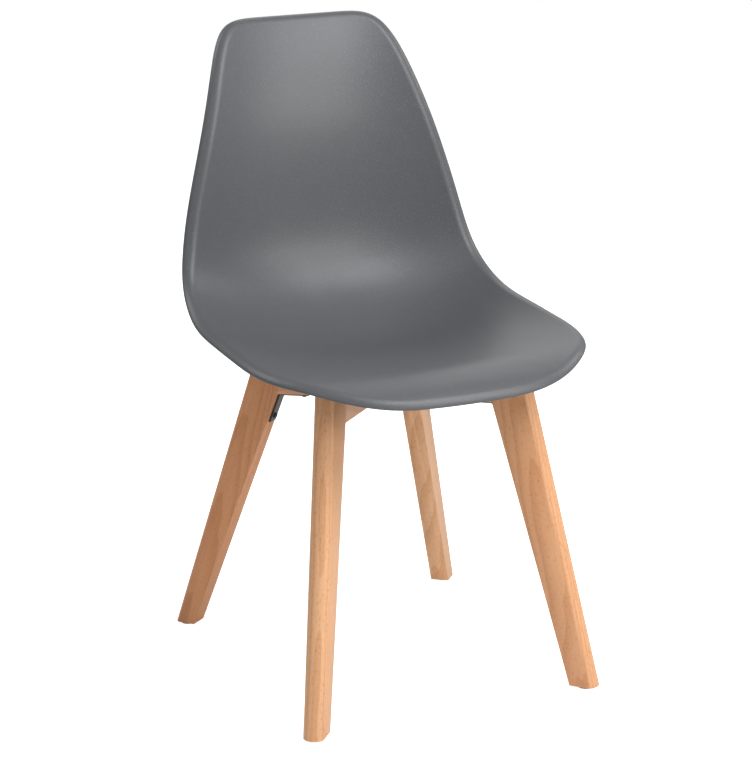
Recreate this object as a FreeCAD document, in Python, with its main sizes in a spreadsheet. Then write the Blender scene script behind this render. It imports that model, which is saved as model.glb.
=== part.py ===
import FreeCAD, Part
import Sketcher
import math
import os
from FreeCAD import Placement, Rotation, Vector

# A side chair: one moulded plastic shell on two crossed beech bars and four
# tapered beech legs. The sitter looks along -Y, +Z is up, and the origin lies
# on the floor under the middle of the chair.

os.makedirs("parts", exist_ok=True)
doc = FreeCAD.newDocument("shell_chair")

# Driving dimensions, in millimetres and degrees
DIMENSIONS = {
    # Where the two crossbars cross, and how they lie
    "bar_plan_angle": 50.4,       # between each bar and the X axis, from above
    "crossing_y": 19.72,
    "crossing_height": 355.0,     # floor to the bars' lower edges at the crossing
    "bar_tilt": 3.8,              # each bar falls by this angle towards the rear
    "bar_thickness": 26.0,
    "bar_depth": 42.0,            # lower edge to upper edge
    "front_reach": 171.0,         # crossing to the front leg, along the lower edge
    "rear_reach": 141.0,
    "lap_clearance": 0.15,        # on each side of the half-lap
    # Legs
    "front_leg_angle": 11.9,      # leg's inner face, off the bar's normal
    "rear_leg_angle": 26.9,
    "leg_taper": 2.9,
    "leg_shoulder": 53.5,         # leg's width where it meets the bar's lower edge
    "leg_thickness": 26.0,
    "nose_rise": 7.4,             # bulge of the rounded outer edge
    "leg_stock_length": 420.0,    # before the foot is sawn level
    # Dowels between leg and bar
    "dowel_diameter": 8.0,
    "dowel_length": 30.0,
    "dowel_first": 14.0,          # from the bar's lower edge, along the joint
    "dowel_spacing": 20.0,
    "dowel_clearance": 0.1,
    "dowel_chamfer": 1.0,
    # Steel angle brackets in the inner corners
    "bracket_arm": 44.0,
    "bracket_width": 14.0,
    "bracket_thickness": 3.0,
    "bracket_bend": 3.0,          # inside bend radius
    "bracket_hole": 4.5,
    "bracket_hole_reach": 35.0,   # from the wooden corner, along each arm
    # Wood screws
    "screw_diameter": 4.0,
    "screw_length": 20.0,
    "screw_head": 8.0,
    "screw_head_rise": 2.4,
    "screw_head_flat": 5.6,
    "screw_head_edge": 1.0,       # height of the head's upright side
    "recess_span": 4.4,           # cross recess, from arm end to arm end
    "recess_width": 1.0,
    "recess_depth": 1.4,
    "pilot_clearance": 0.1,
    # Bolts that hold the shell
    "front_bolt_reach": 100.0,    # from the crossing, along the bar
    "rear_bolt_reach": 76.0,
    "bolt_diameter": 6.0,
    "bolt_length": 60.0,
    "bolt_head": 11.0,
    "bolt_head_rise": 3.3,
    "bolt_head_flat": 6.0,
    "bolt_shoulder": 9.9,         # head's width where its dome turns down
    "bolt_shoulder_rise": 1.8,
    "bolt_socket": 4.0,           # across the hexagon's flats
    "bolt_socket_depth": 2.2,
    "bolt_clearance": 0.25,       # round the shank, in every hole it passes
    "bolt_chamfer": 0.8,
    "thread_clearance": 0.05,     # round the shank, in the nut and the inserts
    "washer_diameter": 16.0,
    "washer_thickness": 1.6,
    "spring_washer_diameter": 10.5,
    "spring_washer_thickness": 1.5,
    "spring_washer_slit": 1.2,
    "spacer_diameter": 20.0,
    "spacer_thickness": 3.0,
    # Bolt through the half-lap
    "lap_bolt_head": 12.0,
    "lap_bolt_head_rise": 3.0,
    "lap_bolt_head_flat": 9.6,
    "lap_socket_depth": 1.8,
    "lap_sink": 6.0,              # depth of the counterbores above and below
    "lap_sink_clearance": 0.5,
    "lap_washer_diameter": 16.0,
    "lap_washer_thickness": 1.5,
    "nut_flats": 10.0,
    "nut_thickness": 4.5,
    "lap_bolt_stick": 0.8,        # thread that shows past the nut
    # Brass inserts in the shell's bosses
    "insert_diameter": 9.0,
    "insert_length": 11.0,
    "insert_groove": 0.6,         # depth of its two retaining grooves
    "insert_groove_width": 1.1,
    "insert_groove_pitch": 3.3,
    "insert_clearance": 0.05,
    "insert_bore_spare": 1.0,     # boss bore past the insert's end
    # Glides under the feet
    "glide_diameter": 22.0,
    "glide_thickness": 2.5,
    "nail_diameter": 2.0,
    "nail_length": 15.0,
    "nail_head": 6.0,
    "nail_head_thickness": 0.8,
    "nail_head_sink": 0.8,        # floor to the nail's head
    "nail_point": 3.0,
    "nail_clearance": 0.05,
    "nail_head_clearance": 0.3,
    "glide_chamfer": 0.8,
    # How far cutting tools reach past the faces they open
    "tool_spare": 1.0,
    # Shell
    "wall": 5.0,
    "lip_radius": 13.0,           # outer radius of the rolled rim
    "lip_turn": 88.0,             # how far the rim rolls at the sides and the back
    "nose_turn": 52.0,            # and at the front edge
    "edge_round": 2.4,            # how far the rim's end bulges
    "lift_power": 2.4,            # how late the sides start to rise
    "lift_width": 220.0,          # half-width at which the lift is as given below
    "boss_diameter": 22.0,
    "rib_thickness": 2.5,
    "rib_reach": 26.0,            # from the boss's axis
    "rib_setback": 5.0,           # rib's lower edge above the boss's face
    # Shell's centre line seen from the side: guide points from front to top,
    # measured from the bars' crossing
    "tail_y": -309.0, "tail_z": 42.5,
    "edge_y": -284.6, "edge_z": 73.5,
    "brow_y": -256.0, "brow_z": 83.0,
    "crest_y": -226.0, "crest_z": 89.0,
    "shelf_y": -190.0, "shelf_z": 84.5,
    "pan_front_y": -125.0, "pan_front_z": 74.0,
    "pan_y": -10.0, "pan_z": 58.0,
    "pan_rear_y": 92.0, "pan_rear_z": 56.0,
    "bend_y": 200.0, "bend_z": 137.0,
    "lumbar_y": 170.0, "lumbar_z": 323.0,
    "crown_y": 226.0, "crown_z": 482.5,
    "crown_tail_y": 269.5, "crown_tail_z": 514.5,
    # Shell's outline: half-widths, and distances along the centre line
    "nose_x": 37.0,
    "toe_x": 125.0, "toe_along": 6.0,
    "corner_x": 208.0, "corner_along": 102.0,
    "thigh_x": 206.0, "thigh_along": 194.0,
    "hip_x": 206.0, "hip_along": 331.0,
    "waist_x": 194.0, "waist_along": 477.0,
    "loin_x": 176.0, "loin_along": 588.0,
    "shoulder_x": 133.0, "shoulder_below_top": 101.0,
    "temple_x": 105.0, "temple_below_top": 7.0,
    "crown_x": 69.0,
    # Rise of the shell's sides off the centre line, front to top
    "lift_tail": -23.5,
    "lift_edge": -12.7,
    "lift_thigh": 28.6,
    "lift_hip": 63.7,
    "lift_waist": 59.8,
    "lift_loin": 53.7,
    "lift_shoulder": 87.5,
    "lift_crown": 9.8,
}

sheet = doc.addObject("Spreadsheet::Sheet", "dims")
for row, (alias, value) in enumerate(DIMENSIONS.items(), start=1):
    sheet.set(f"A{row}", alias)
    sheet.set(f"B{row}", str(value))
    sheet.setAlias(f"B{row}", alias)
doc.recompute()


def size(alias):
    """The sheet's value for one driving dimension."""
    return float(sheet.get(alias))


X_AXIS = Vector(1, 0, 0)
Y_AXIS = Vector(0, 1, 0)
Z_AXIS = Vector(0, 0, 1)


def move(x=0, y=0, z=0):
    return Placement(Vector(x, y, z), Rotation())


def turn(axis, degrees):
    return Placement(Vector(), Rotation(axis, degrees))


# Frames that the wooden parts share

def bar_frame(side):
    """On the bar's lower edge at the crossing: X to the rear along the bar, Z to its upper edge."""
    heading = size("bar_plan_angle") if side == "left" else 180 - size("bar_plan_angle")
    crossing = move(0, size("crossing_y"), size("crossing_height"))
    return crossing * turn(Z_AXIS, heading) * turn(Y_AXIS, size("bar_tilt"))


# Each leg: the bar that carries it, named after the side of that bar's front end, and the end it is on
LEGS = {
    "front_left": ("left", "front"),
    "front_right": ("right", "front"),
    "rear_left": ("right", "rear"),
    "rear_right": ("left", "rear"),
}


def lean_name(leg):
    """The driving dimension that says how far this leg leans out."""
    return f"{LEGS[leg][1]}_leg_angle"


def corner_frame(leg):
    """At the corner under the bar: X outwards along the bar, Z to the bar's upper edge."""
    side, end = LEGS[leg]
    if end == "rear":
        return bar_frame(side) * move(size("rear_reach"))
    return bar_frame(side) * move(-size("front_reach")) * turn(Z_AXIS, 180)


def face_frame(leg, along):
    """On the leg's inner face, a distance down from the corner: X down the leg, Z into the wood."""
    return corner_frame(leg) * turn(Y_AXIS, 90 - size(lean_name(leg))) * move(along)


def bolt_frame(leg):
    """On the bar's lower edge, on the axis of the shell bolt nearest to this leg."""
    side, end = LEGS[leg]
    reach = size("rear_bolt_reach") if end == "rear" else -size("front_bolt_reach")
    return bar_frame(side) * move(reach)


def lap_frame():
    """On the crossing's upright axis, at the level where the two bars meet in the half-lap."""
    half_depth = size("bar_depth") / 2 / math.cos(math.radians(size("bar_tilt")))
    return move(0, size("crossing_y"), size("crossing_height") + half_depth)


# Small helpers for sketches and features

def new_body(name):
    body = doc.addObject("PartDesign::Body", name)
    body.Label = name
    return body


def new_sketch(body, name, plane="XY_Plane", offset=None):
    sketch = body.newObject("Sketcher::SketchObject", name)
    support = [feature for feature in body.Origin.OriginFeatures if feature.Role == plane][0]
    sketch.AttachmentSupport = [(support, "")]
    sketch.MapMode = "FlatFace"
    if offset is not None:
        sketch.AttachmentOffset = offset
    return sketch


def constrain(sketch, *arguments, name=None, formula=None):
    """Adds one constraint, and binds it to the sheet where a formula is given."""
    index = sketch.addConstraint(Sketcher.Constraint(*arguments))
    if name:
        sketch.renameConstraint(index, name)
        sketch.setExpression(f"Constraints.{name}", formula)
    return index


# The sketcher's own numbers for a line's two ends, an arc's centre and the sketch's axes
START, END, CENTRE = range(1, 4)
H_AXIS, V_AXIS = range(-1, -3, -1)
ORIGIN_POINT = (H_AXIS, START)


def polygon(sketch, points):
    """A closed outline of straight lines; its corners are then fixed by named constraints."""
    count = len(points)
    for index in range(count):
        first = Vector(*points[index], 0)
        second = Vector(*points[(index + 1) % count], 0)
        sketch.addGeometry(Part.LineSegment(first, second), False)
    for index in range(count):
        constrain(sketch, "Coincident", index, END, (index + 1) % count, START)


def place_corner(sketch, line, name, x_formula, y_formula):
    """Fixes the start of a line at two formulas; a zero is written as None."""
    for kind, formula in (("x", x_formula), ("y", y_formula)):
        if formula is None:
            axis = V_AXIS if kind == "x" else H_AXIS
            constrain(sketch, "PointOnObject", line, START, axis)
            continue
        point = sketch.getPoint(line, START)
        value = point.x if kind == "x" else point.y
        constraint = "DistanceX" if kind == "x" else "DistanceY"
        ends = (*ORIGIN_POINT, line, START)
        constrain(sketch, constraint, *ends, value, name=f"{name}_{kind}", formula=formula)


def circle(sketch, name, radius_formula, x_formula=None, guess=(0, 0, 1)):
    """A circle on the sketch's X axis, at the origin unless a formula places it."""
    x, y, radius = guess
    index = sketch.addGeometry(Part.Circle(Vector(x, y, 0), Z_AXIS, radius), False)
    if x_formula is None:
        constrain(sketch, "Coincident", index, CENTRE, *ORIGIN_POINT)
    else:
        constrain(sketch, "PointOnObject", index, CENTRE, H_AXIS)
        ends = (*ORIGIN_POINT, index, CENTRE)
        constrain(sketch, "DistanceX", *ends, x, name=f"{name}_x", formula=x_formula)
    constrain(sketch, "Radius", index, radius, name=f"{name}_radius", formula=radius_formula)


def pad(body, name, sketch, length_formula, symmetric=False, reversed_way=False):
    feature = body.newObject("PartDesign::Pad", name)
    feature.Profile = sketch
    feature.SideType = "Symmetric" if symmetric else "One side"
    feature.Reversed = reversed_way
    feature.setExpression("Length", length_formula)
    return feature


def pocket(body, name, sketch, length_formula=None, reversed_way=False):
    """Cuts a sketch away, through everything unless a depth is given."""
    feature = body.newObject("PartDesign::Pocket", name)
    feature.Profile = sketch
    feature.Reversed = reversed_way
    if length_formula is None:
        feature.Type = "ThroughAll"
    else:
        feature.setExpression("Length", length_formula)
    return feature


def cylinder(name, radius_formula, length_formula, frame):
    tool = doc.addObject("Part::Cylinder", name)
    tool.setExpression("Radius", radius_formula)
    tool.setExpression("Height", length_formula)
    tool.Placement = frame
    return tool


def box(name, length, width, height, frame):
    tool = doc.addObject("Part::Box", name)
    for axis, formula in (("Length", length), ("Width", width), ("Height", height)):
        tool.setExpression(axis, formula)
    tool.Placement = frame
    return tool


def cut(label, base, tools):
    """The piece that is left of a base when all the tools are cut from it."""
    joined = doc.addObject("Part::MultiFuse", f"{label}_tools")
    joined.Shapes = tools
    piece = doc.addObject("Part::Cut", label)
    piece.Base = base
    piece.Tool = joined
    piece.Label = label
    return piece


def group(label, master, frames):
    """Identical fasteners as separate solids in one node."""
    links = []
    for index, frame in enumerate(frames):
        link = doc.addObject("App::Link", f"{label}_{index + 1}")
        link.LinkedObject = master
        link.Placement = frame
        links.append(link)
    compound = doc.addObject("Part::Compound", label)
    compound.Links = links
    compound.Label = label
    return compound


# Crossbars

def bar_blank(side):
    """A straight bar whose ends lie on the legs' inner faces."""
    body = new_body(f"bar_blank_{side}")
    sketch = new_sketch(body, f"bar_side_view_{side}", "XZ_Plane")
    front, rear = size("front_reach"), size("rear_reach")
    depth = size("bar_depth")
    front_lean = depth * math.tan(math.radians(size("front_leg_angle")))
    rear_lean = depth * math.tan(math.radians(size("rear_leg_angle")))
    polygon(sketch, [(-front, 0), (rear, 0), (rear - rear_lean, depth), (front_lean - front, depth)])
    rear_high = "dims.rear_reach - dims.bar_depth * tan(dims.rear_leg_angle * 1 deg)"
    front_high = "dims.bar_depth * tan(dims.front_leg_angle * 1 deg) - dims.front_reach"
    place_corner(sketch, 0, "front_low", "-dims.front_reach", None)
    place_corner(sketch, 1, "rear_low", "dims.rear_reach", None)
    place_corner(sketch, 2, "rear_high", rear_high, "dims.bar_depth")
    place_corner(sketch, 3, "front_high", front_high, "dims.bar_depth")
    pad(body, f"bar_{side}", sketch, "dims.bar_thickness", symmetric=True)
    body.Placement = bar_frame(side)
    return body


def lap_notch(side, upwards):
    """The room that the other bar takes, above or below the level where the bars meet."""
    other = "right" if side == "left" else "left"
    heading = size("bar_plan_angle") if other == "left" else 180 - size("bar_plan_angle")
    room = size("bar_thickness") + 2 * size("lap_clearance")
    centred = move(-2 * size("bar_thickness"), -room / 2, 0 if upwards else -size("bar_depth"))
    return box(
        f"lap_notch_{side}",
        "4 * dims.bar_thickness",
        "dims.bar_thickness + 2 * dims.lap_clearance",
        "dims.bar_depth",
        lap_frame() * turn(Z_AXIS, heading) * centred,
    )


def lap_holes(side):
    """Bolt hole and counterbore through one bar at the crossing."""
    hole = cylinder(
        f"lap_hole_{side}",
        "dims.bolt_diameter / 2 + dims.bolt_clearance",
        "2 * dims.bar_depth",
        lap_frame() * move(0, 0, -size("bar_depth")),
    )
    sink_floor = size("bar_depth") / 2 - size("lap_sink")
    flip = Placement() if side == "right" else turn(X_AXIS, 180)
    sink = cylinder(
        f"lap_sink_{side}",
        "dims.lap_washer_diameter / 2 + dims.lap_sink_clearance",
        "dims.bar_depth",
        lap_frame() * flip * move(0, 0, sink_floor),
    )
    return [hole, sink]


def legs_of(side):
    return [leg for leg, (bar_side, _) in LEGS.items() if bar_side == side]


def dowel_frames(leg):
    """Dowel centres on the joint between bar and leg, with Z into the leg."""
    first, spacing = size("dowel_first"), size("dowel_spacing")
    return [face_frame(leg, -first - step * spacing) for step in range(2)]


def dowel_holes(owner, leg):
    return [
        cylinder(
            f"{owner}_dowel_hole_{leg}_{index}",
            "dims.dowel_diameter / 2 + dims.dowel_clearance",
            "dims.dowel_length + 2 * dims.tool_spare",
            frame * move(0, 0, -size("dowel_length") / 2 - size("tool_spare")),
        )
        for index, frame in enumerate(dowel_frames(leg))
    ]


def pilot_hole(name, frame):
    """Bore for one wood screw; the frame lies on the wood, with Z into it."""
    return cylinder(
        name,
        "dims.screw_diameter / 2 + dims.pilot_clearance",
        "dims.screw_length - dims.bracket_thickness + dims.tool_spare",
        frame,
    )


def bar_screw_frame(leg):
    """On the bar's lower face, with Z up into the bar."""
    return corner_frame(leg) * move(-size("bracket_hole_reach"))


def leg_screw_frame(leg):
    """On the leg's inner face, with Z into the leg."""
    return face_frame(leg, size("bracket_hole_reach"))


def crossbar(label, side):
    tools = [lap_notch(side, upwards=(side == "left"))] + lap_holes(side)
    for leg in legs_of(side):
        tools += dowel_holes("bar", leg)
        tools.append(pilot_hole(f"bar_pilot_{leg}", bar_screw_frame(leg)))
        tools.append(cylinder(
            f"bar_bolt_hole_{leg}",
            "dims.bolt_diameter / 2 + dims.bolt_clearance",
            "dims.bar_depth + 2 * dims.tool_spare",
            bolt_frame(leg) * move(0, 0, -size("tool_spare")),
        ))
    return cut(label, bar_blank(side), tools)


# Legs

def leg_slopes(leg):
    """How far the leg's inner and outer edges run outwards for each step down."""
    angle, taper = size(lean_name(leg)), size("leg_taper")
    return math.tan(math.radians(angle)), math.tan(math.radians(angle - taper))


def leg_section(body, name, leg, level, level_formula):
    """D-shaped section of the leg at one level, its round side outwards."""
    inner_slope, outer_slope = leg_slopes(leg)
    inner = -level * inner_slope
    outer = size("leg_shoulder") - level * outer_slope
    half, rise = size("leg_thickness") / 2, size("nose_rise")
    radius = (half * half + rise * rise) / (2 * rise)
    sketch = new_sketch(body, name)
    sketch.AttachmentOffset = move(0, 0, level)
    sketch.setExpression("AttachmentOffset.Base.z", level_formula)
    crease = outer - rise
    corners = [
        Vector(crease, -half, 0), Vector(inner, -half, 0), Vector(inner, half, 0), Vector(crease, half, 0),
    ]
    for first, second in zip(corners, corners[1:]):
        sketch.addGeometry(Part.LineSegment(first, second), False)
    arc = sketch.addGeometry(Part.Arc(corners[3], Vector(outer, 0, 0), corners[0]), False)
    constrain(sketch, "Coincident", 0, END, 1, START)
    constrain(sketch, "Coincident", 1, END, 2, START)
    arc_ends = [sketch.getPoint(arc, START), sketch.getPoint(arc, END)]
    low_end = START if arc_ends[0].y < arc_ends[1].y else END
    high_end = END if low_end == START else START
    constrain(sketch, "Coincident", 0, START, arc, low_end)
    constrain(sketch, "Coincident", 2, END, arc, high_end)
    constrain(sketch, "PointOnObject", arc, CENTRE, H_AXIS)
    lean = f"dims.{lean_name(leg)}"
    inner_x = f"-({level_formula}) * tan({lean} * 1 deg)"
    outer_x = f"dims.leg_shoulder - ({level_formula}) * tan(({lean} - dims.leg_taper) * 1 deg)"
    place_corner(sketch, 0, "crease", f"{outer_x} - dims.nose_rise", "-dims.leg_thickness / 2")
    place_corner(sketch, 1, "inner_low", inner_x, "-dims.leg_thickness / 2")
    place_corner(sketch, 2, "inner_high", inner_x, "dims.leg_thickness / 2")
    constrain(
        sketch, "Radius", arc, radius, name="nose_radius",
        formula="(dims.leg_thickness ^ 2 / 4 + dims.nose_rise ^ 2) / (2 * dims.nose_rise)",
    )
    return sketch


def leg_blank(leg):
    """Tapered stock from the bar's upper edge to below the floor."""
    body = new_body(f"leg_blank_{leg}")
    bottom = -size("leg_stock_length")
    foot = leg_section(body, f"foot_section_{leg}", leg, bottom, "-dims.leg_stock_length")
    top = leg_section(body, f"top_section_{leg}", leg, size("bar_depth"), "dims.bar_depth")
    loft = body.newObject("PartDesign::AdditiveLoft", f"leg_taper_{leg}")
    loft.Profile = foot
    loft.Sections = [top]
    loft.Ruled = True
    body.Placement = corner_frame(leg)
    return body


def foot_centre(leg):
    """The point of the floor under the middle of the sawn foot."""
    frame = corner_frame(leg)
    inner_slope, outer_slope = leg_slopes(leg)

    def at_foot(offset, slope):
        drop = size("leg_stock_length")
        top = frame.multVec(Vector(offset, 0, 0))
        low = frame.multVec(Vector(offset + drop * slope, 0, -drop))
        share = (top.z - size("glide_thickness")) / (top.z - low.z)
        return top + (low - top) * share

    middle = (at_foot(0, inner_slope) + at_foot(size("leg_shoulder"), outer_slope)) / 2
    return Vector(middle.x, middle.y, 0)


def nail_seat():
    """Height at which the nail's head holds the glide."""
    return size("nail_head_sink") + size("nail_head_thickness")


def leg_piece(leg):
    foot = Placement(foot_centre(leg), Rotation())
    half_saw = 2 * size("leg_shoulder")
    sawn = box(
        f"floor_under_{leg}",
        "4 * dims.leg_shoulder",
        "4 * dims.leg_shoulder",
        "dims.leg_stock_length",
        foot * move(-half_saw, -half_saw, size("glide_thickness") - size("leg_stock_length")),
    )
    tools = [sawn] + dowel_holes("leg", leg)
    tools.append(pilot_hole(f"leg_pilot_{leg}", leg_screw_frame(leg)))
    tools.append(cylinder(
        f"nail_hole_{leg}",
        "dims.nail_diameter / 2 + dims.nail_clearance",
        "dims.nail_length + dims.tool_spare",
        foot * move(0, 0, nail_seat()),
    ))
    return cut(f"leg_{leg}", leg_blank(leg), tools)


# Angle brackets

def bracket(leg):
    body = new_body(f"bracket_{leg}")
    sketch = new_sketch(body, f"bracket_side_view_{leg}", "XZ_Plane")
    arm, gauge = size("bracket_arm"), size("bracket_thickness")
    lean = math.radians(size(lean_name(leg)))
    down = Vector(math.sin(lean), -math.cos(lean), 0)
    inwards = Vector(-math.cos(lean), -math.sin(lean), 0)
    inner_run = gauge * (1 - math.sin(lean)) / math.cos(lean)
    inner_corner = inwards * gauge + down * inner_run
    leg_end = down * arm
    leg_end_inner = leg_end + inwards * gauge
    points = [
        (0, 0), (-arm, 0), (-arm, -gauge), (inner_corner.x, inner_corner.y),
        (leg_end_inner.x, leg_end_inner.y), (leg_end.x, leg_end.y),
    ]
    polygon(sketch, points)
    place_corner(sketch, 0, "corner", None, None)
    place_corner(sketch, 1, "bar_end", "-dims.bracket_arm", None)
    place_corner(sketch, 2, "bar_end_low", "-dims.bracket_arm", "-dims.bracket_thickness")
    constrain(sketch, "Horizontal", 2)
    constrain(sketch, "Parallel", 3, 5)
    constrain(sketch, "Perpendicular", 4, 5)
    constrain(sketch, "Distance", 4, gauge, name="gauge", formula="dims.bracket_thickness")
    down_x = f"dims.bracket_arm * sin(dims.{lean_name(leg)} * 1 deg)"
    down_z = f"-dims.bracket_arm * cos(dims.{lean_name(leg)} * 1 deg)"
    place_corner(sketch, 5, "leg_end", down_x, down_z)
    blank = pad(body, f"bracket_blank_{leg}", sketch, "dims.bracket_width", symmetric=True)
    doc.recompute()
    inside_edge = Vector(inner_corner.x, 0, inner_corner.y)
    inside = bend(body, blank, f"inside_bend_{leg}", inside_edge, "dims.bracket_bend")
    bend(body, inside, f"outside_bend_{leg}", Vector(), "dims.bracket_bend + dims.bracket_thickness")
    bar_hole = new_sketch(body, f"bar_hole_{leg}")
    leg_hole = new_sketch(body, f"leg_hole_{leg}", offset=turn(Y_AXIS, 90 - size(lean_name(leg))))
    leg_hole.setExpression("AttachmentOffset.Rotation.Angle", f"(90 - dims.{lean_name(leg)}) * 1 deg")
    reach, radius = size("bracket_hole_reach"), size("bracket_hole") / 2
    depth = "dims.bracket_thickness + dims.tool_spare"
    for place, sketch, away in (("bar", bar_hole, -1), ("leg", leg_hole, 1)):
        x_formula = f"{away} * dims.bracket_hole_reach"
        circle(sketch, "hole", "dims.bracket_hole / 2", x_formula, (away * reach, 0, radius))
        pocket(body, f"{place}_screw_hole_{leg}", sketch, depth)
    body.Placement = corner_frame(leg)
    return body


def bend(body, base, name, point, radius_formula):
    """Rounds the edge across the bracket that passes through a point of its middle plane."""
    edges = [
        f"Edge{index}"
        for index, edge in enumerate(base.Shape.Edges, start=1)
        if edge.distToShape(Part.Vertex(point))[0] < 0.01
    ]
    feature = body.newObject("PartDesign::Fillet", name)
    feature.Base = (base, edges)
    feature.setExpression("Radius", radius_formula)
    doc.recompute()
    return feature


# Turned and stamped fasteners, each made once and then placed by its frames

def turned(name, points, place):
    """A piece turned about Z; points are (radius, height) and place gives each corner's formulas."""
    body = new_body(name)
    sketch = new_sketch(body, f"{name}_half_section", "XZ_Plane")
    polygon(sketch, points)
    for line, (x_formula, y_formula) in enumerate(place):
        place_corner(sketch, line, f"corner_{line}", x_formula, y_formula)
    feature = body.newObject("PartDesign::Revolution", f"{name}_turned")
    feature.Profile = sketch
    feature.ReferenceAxis = (sketch, ["V_Axis"])
    feature.Angle = 360
    return body


def ring(name, outer, inner, thickness, guess):
    """A flat ring standing on its own XY plane."""
    body = new_body(name)
    sketch = new_sketch(body, f"{name}_plan")
    circle(sketch, "outer", outer, guess=(0, 0, guess[0]))
    circle(sketch, "inner", inner, guess=(0, 0, guess[1]))
    pad(body, f"{name}_pad", sketch, thickness)
    return body


def hexagon(sketch, name, flats, flats_formula):
    """A regular hexagon about the origin, sized across its flats."""
    corner = flats / math.sqrt(3)
    angles = [math.radians(60 * step) for step in range(6)]
    polygon(sketch, [(corner * math.cos(a), corner * math.sin(a)) for a in angles])
    for line in range(6):
        x_formula = f"{flats_formula} / sqrt(3) * cos({60 * line} deg)"
        y_formula = f"{flats_formula} / sqrt(3) * sin({60 * line} deg)" if line % 3 else None
        place_corner(sketch, line, f"{name}_{line}", x_formula, y_formula)


def wood_screw():
    """Pan-head wood screw: its head sits on z = 0 and its point is up."""
    radius, length = size("screw_diameter") / 2, size("screw_length")
    head, rise = size("screw_head") / 2, size("screw_head_rise")
    points = [
        (0, -rise), (size("screw_head_flat") / 2, -rise), (head, -size("screw_head_edge")), (head, 0),
        (radius, 0), (radius, length - 2 * radius), (0, length),
    ]
    body = turned("wood_screw", points, [
        (None, "-dims.screw_head_rise"),
        ("dims.screw_head_flat / 2", "-dims.screw_head_rise"),
        ("dims.screw_head / 2", "-dims.screw_head_edge"),
        ("dims.screw_head / 2", None),
        ("dims.screw_diameter / 2", None),
        ("dims.screw_diameter / 2", "dims.screw_length - dims.screw_diameter"),
        (None, "dims.screw_length"),
    ])
    sketch = new_sketch(body, "cross_recess", offset=move(0, 0, -rise))
    sketch.setExpression("AttachmentOffset.Base.z", "-dims.screw_head_rise")
    outline = []
    for right, up in ((1, 1), (-1, 1), (-1, -1), (1, -1)):
        arms = [("recess_span", "recess_width"), ("recess_width", "recess_width"),
                ("recess_width", "recess_span")]
        if right * up < 0:
            arms.reverse()
        outline += [(right, x_name, up, y_name) for x_name, y_name in arms]
    polygon(sketch, [(right * size(x) / 2, up * size(y) / 2) for right, x, up, y in outline])
    for line, (right, x_name, up, y_name) in enumerate(outline):
        formulas = [f"{sign} * dims.{name} / 2" for sign, name in ((right, x_name), (up, y_name))]
        place_corner(sketch, line, f"recess_{line}", *formulas)
    pocket(body, "cross_recess_cut", sketch, "dims.recess_depth", reversed_way=True)
    return body


def shell_bolt():
    """Button-head bolt: its head sits on z = 0 and its shank is up."""
    radius, length = size("bolt_diameter") / 2, size("bolt_length")
    head, rise, chamfer = size("bolt_head") / 2, size("bolt_head_rise"), size("bolt_chamfer")
    body = turned("shell_bolt", [
        (0, -rise), (size("bolt_head_flat") / 2, -rise),
        (size("bolt_shoulder") / 2, -size("bolt_shoulder_rise")), (head, 0),
        (radius, 0), (radius, length - chamfer), (radius - chamfer, length), (0, length),
    ], [
        (None, "-dims.bolt_head_rise"),
        ("dims.bolt_head_flat / 2", "-dims.bolt_head_rise"),
        ("dims.bolt_shoulder / 2", "-dims.bolt_shoulder_rise"),
        ("dims.bolt_head / 2", None),
        ("dims.bolt_diameter / 2", None),
        ("dims.bolt_diameter / 2", "dims.bolt_length - dims.bolt_chamfer"),
        ("dims.bolt_diameter / 2 - dims.bolt_chamfer", "dims.bolt_length"),
        (None, "dims.bolt_length"),
    ])
    sketch = new_sketch(body, "socket", offset=move(0, 0, -rise))
    sketch.setExpression("AttachmentOffset.Base.z", "-dims.bolt_head_rise")
    hexagon(sketch, "socket", size("bolt_socket"), "dims.bolt_socket")
    pocket(body, "socket_cut", sketch, "dims.bolt_socket_depth", reversed_way=True)
    return body


def lap_washer_seat():
    """Height of the counterbores' floors above and below the lap's middle level."""
    return size("bar_depth") / 2 - size("lap_sink")


def lap_bolt():
    """Pan-head bolt through the half-lap: its head sits on z = 0 and its shank is down."""
    formula = (
        "dims.bar_depth - 2 * dims.lap_sink + 2 * dims.lap_washer_thickness"
        " + dims.nut_thickness + dims.lap_bolt_stick"
    )
    length = (
        size("bar_depth") - 2 * size("lap_sink") + 2 * size("lap_washer_thickness")
        + size("nut_thickness") + size("lap_bolt_stick")
    )
    radius, rise = size("bolt_diameter") / 2, size("lap_bolt_head_rise")
    body = turned("lap_bolt_blank", [
        (0, -length), (radius, -length), (radius, 0),
        (size("lap_bolt_head") / 2, 0), (size("lap_bolt_head_flat") / 2, rise), (0, rise),
    ], [
        (None, f"-({formula})"),
        ("dims.bolt_diameter / 2", f"-({formula})"),
        ("dims.bolt_diameter / 2", None),
        ("dims.lap_bolt_head / 2", None),
        ("dims.lap_bolt_head_flat / 2", "dims.lap_bolt_head_rise"),
        (None, "dims.lap_bolt_head_rise"),
    ])
    sketch = new_sketch(body, "lap_socket", offset=move(0, 0, rise))
    sketch.setExpression("AttachmentOffset.Base.z", "dims.lap_bolt_head_rise")
    hexagon(sketch, "lap_socket", size("bolt_socket"), "dims.bolt_socket")
    pocket(body, "lap_socket_cut", sketch, "dims.lap_socket_depth")
    body.Label = "crossing_bolt"
    body.Placement = lap_frame() * move(0, 0, lap_washer_seat() + size("lap_washer_thickness"))
    return body


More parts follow.
